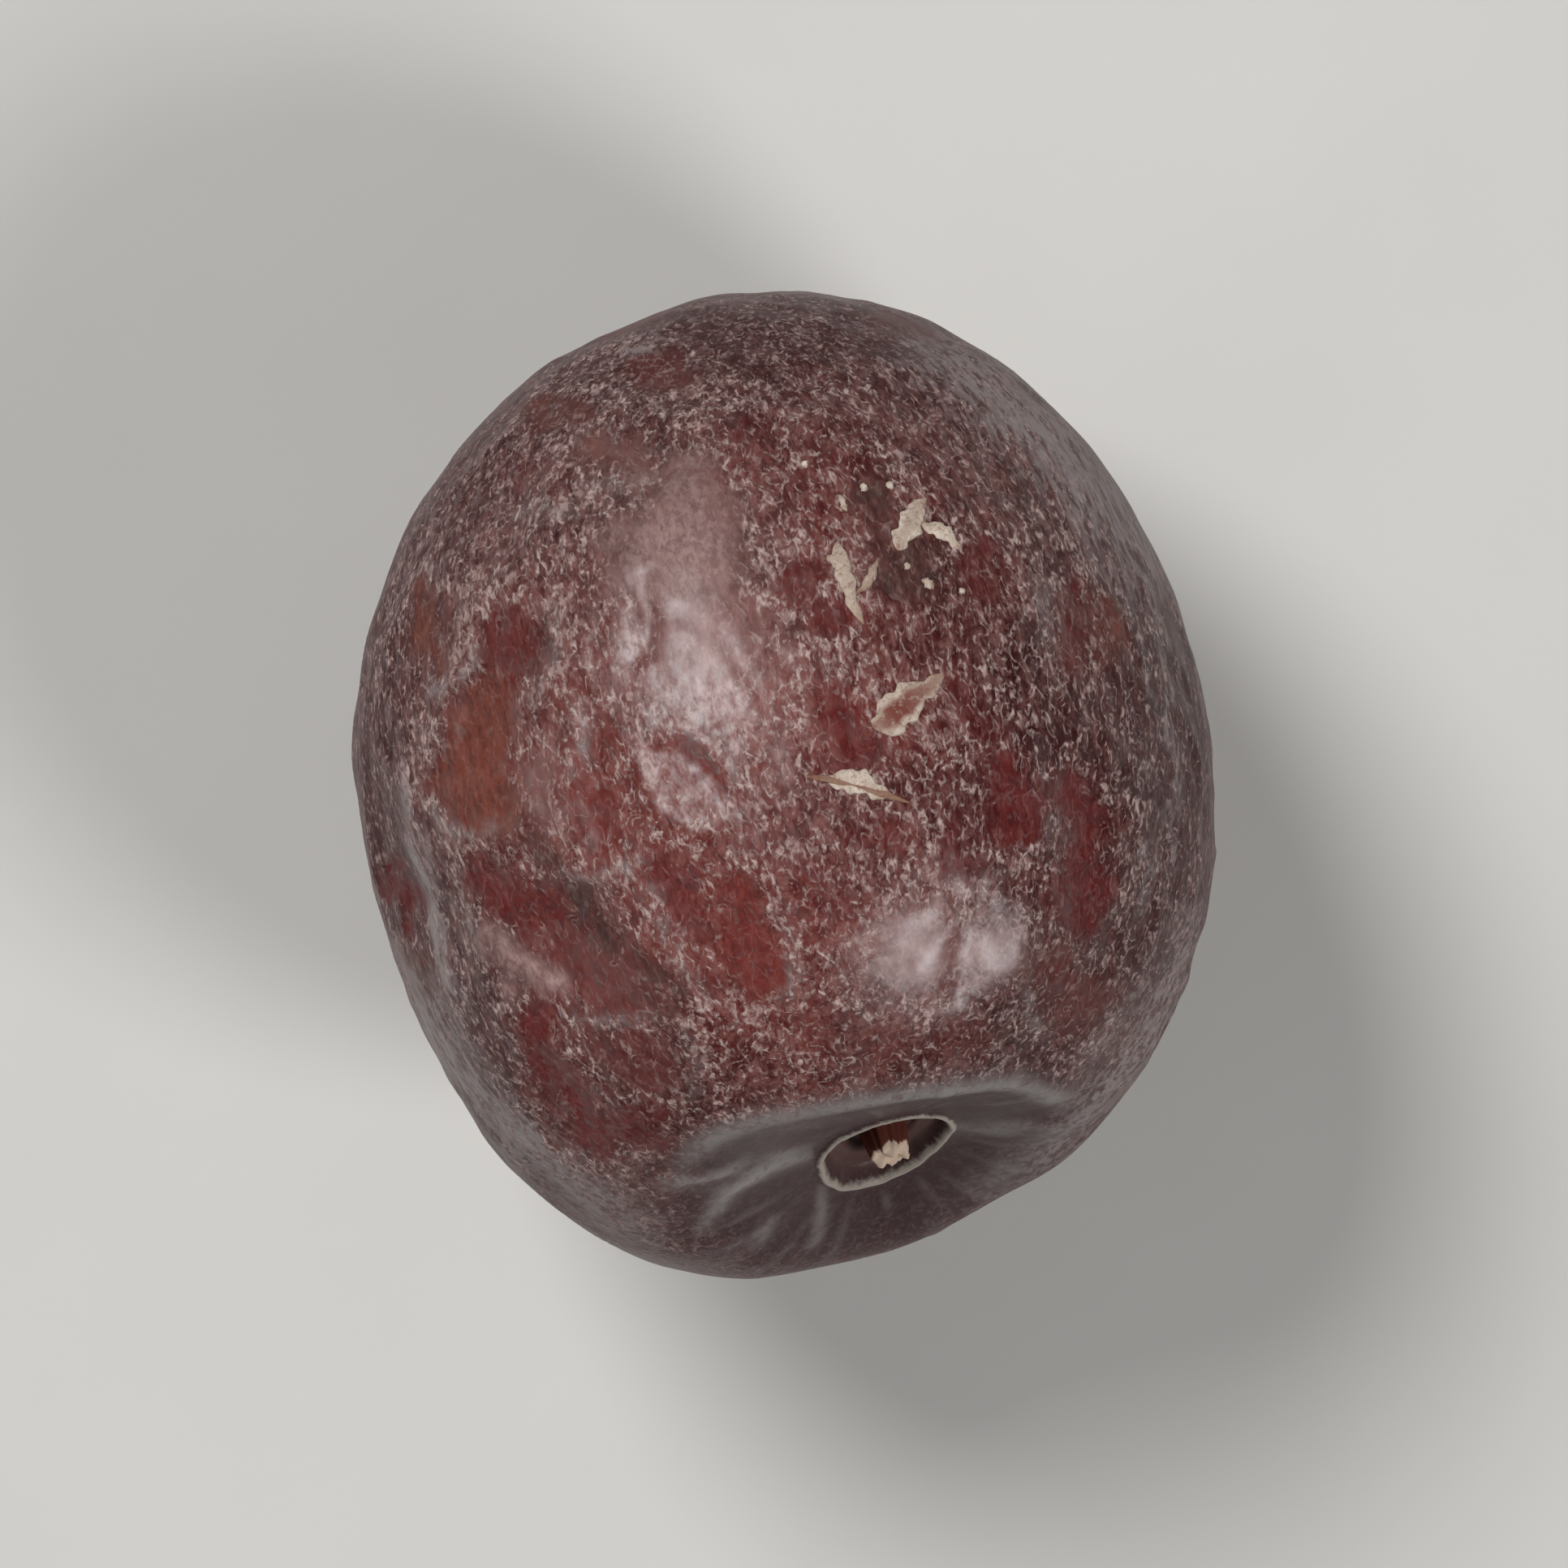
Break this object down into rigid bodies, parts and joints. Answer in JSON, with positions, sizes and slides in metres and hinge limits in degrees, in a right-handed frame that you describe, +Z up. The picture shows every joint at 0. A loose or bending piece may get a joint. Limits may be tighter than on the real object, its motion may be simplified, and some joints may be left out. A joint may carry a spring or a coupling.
{
  "type": "dried jujube",
  "caption": "Whole dried jujube lying on its flank: a wrinkled oval fruit with a dimpled stem end, a stalk scar and a small flat spot to rest on.",
  "frame": {"origin": "on the resting surface, under the middle of the fruit's bounding box", "axes": "+Z up; the stem end points towards -Y, turned 15 degrees towards +X and raised 24 degrees"},
  "size_m": [0.0218, 0.0249, 0.0218],
  "materials": {
    "skin": "satin, wrinkled, with a dusty bloom",
    "cork": "matt, fibrous"
  },
  "bodies": {
    "root": {"jujube": "skin"}
  },
  "joints": []
}
